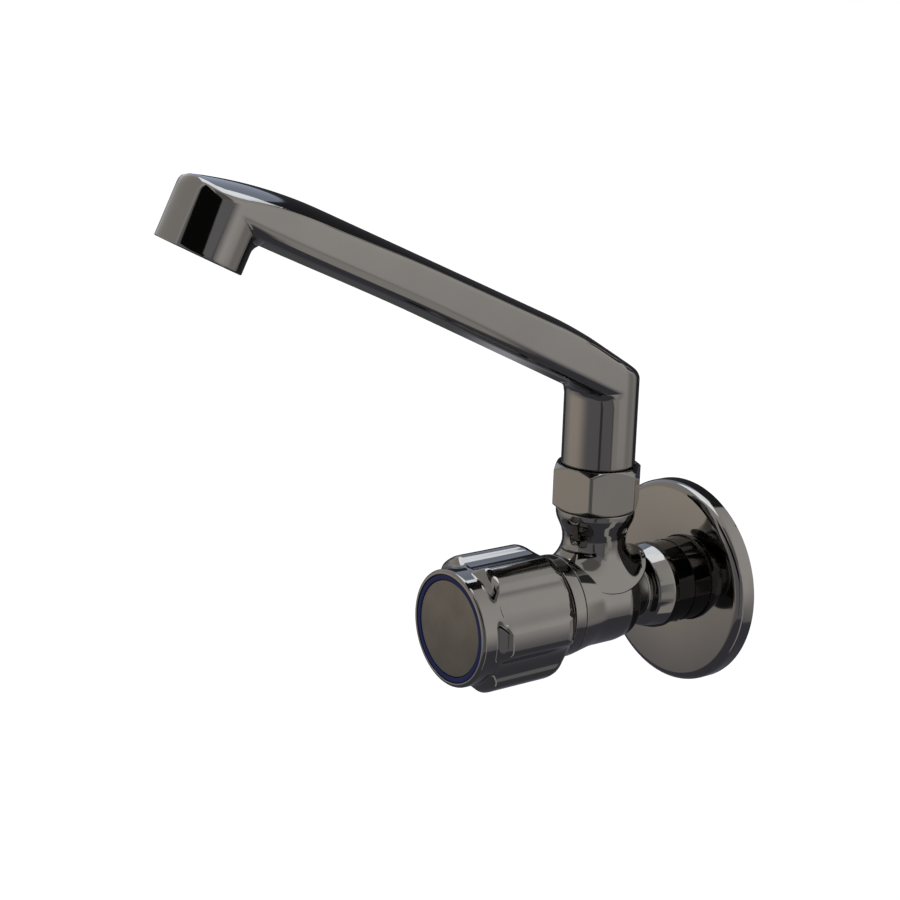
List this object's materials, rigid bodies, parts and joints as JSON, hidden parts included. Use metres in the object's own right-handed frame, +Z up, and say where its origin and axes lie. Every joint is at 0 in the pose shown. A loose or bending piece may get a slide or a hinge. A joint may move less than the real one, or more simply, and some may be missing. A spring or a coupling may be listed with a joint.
{
  "type": "wall-mounted kitchen tap",
  "caption": "Wall-mounted kitchen tap with a lobed turning handle and a long rising swivel spout over it.",
  "frame": {"origin": "centre of the wall flange's back, on the inlet axis, in the wall's surface", "axes": "+Y along the inlet into the wall, +Z up, so the handle and spout reach along -Y"},
  "size_m": [0.07, 0.2142, 0.1813],
  "materials": {
    "black_chrome": "polished dark chrome plate",
    "satin_cap": "fine satin dark plate",
    "brass": "machined",
    "steel": "bright stainless",
    "rubber": "matt black",
    "fibre": "red fibre washer",
    "white_plastic": "moulded acetal",
    "blue_plastic": "gloss navy"
  },
  "bodies": {
    "valve_body": {"tap_body": "black_chrome", "wall_flange": "black_chrome", "flange_grip_ring": "rubber", "bonnet": "brass", "bonnet_seal": "fibre", "bonnet_trim_ring": "black_chrome", "thrust_washer": "white_plastic", "spout_nut": "black_chrome", "slip_washer": "white_plastic"},
    "handle": {"knob": "black_chrome", "knob_bush": "white_plastic", "knob_screw": "steel", "index_ring": "blue_plastic", "index_cap": "satin_cap", "spindle": "brass", "spindle_seals": "rubber", "spindle_circlip": "steel"},
    "plunger": {"jumper": "brass", "jumper_washer": "rubber", "jumper_screw": "steel"},
    "swivel_spout": {"spout": "black_chrome", "spout_seals": "rubber", "spout_retaining_ring": "white_plastic", "aerator_housing": "black_chrome", "aerator_screen": "steel", "aerator_mixer": "white_plastic", "aerator_seal": "rubber"}
  },
  "joints": [
    {"name": "spout_swivel", "type": "hinge", "parent": "valve_body", "child": "swivel_spout", "pos_m": [0, -0.0413, 0.03], "axis": [0, 0, 1], "range_deg": [-100, 100]},
    {"name": "knob_turn", "type": "hinge", "parent": "valve_body", "child": "handle", "pos_m": [0, -0.08, 0], "axis": [0, -1, 0], "range_deg": [0, 720]},
    {"name": "jumper_lift", "type": "slide", "parent": "valve_body", "child": "plunger", "axis": [0, -1, 0], "range_m": [0, 0.0042]}
  ],
  "couplings": [
    {"joint": "jumper_lift", "follows": "knob_turn", "m_per_rad": 0.00033422}
  ]
}
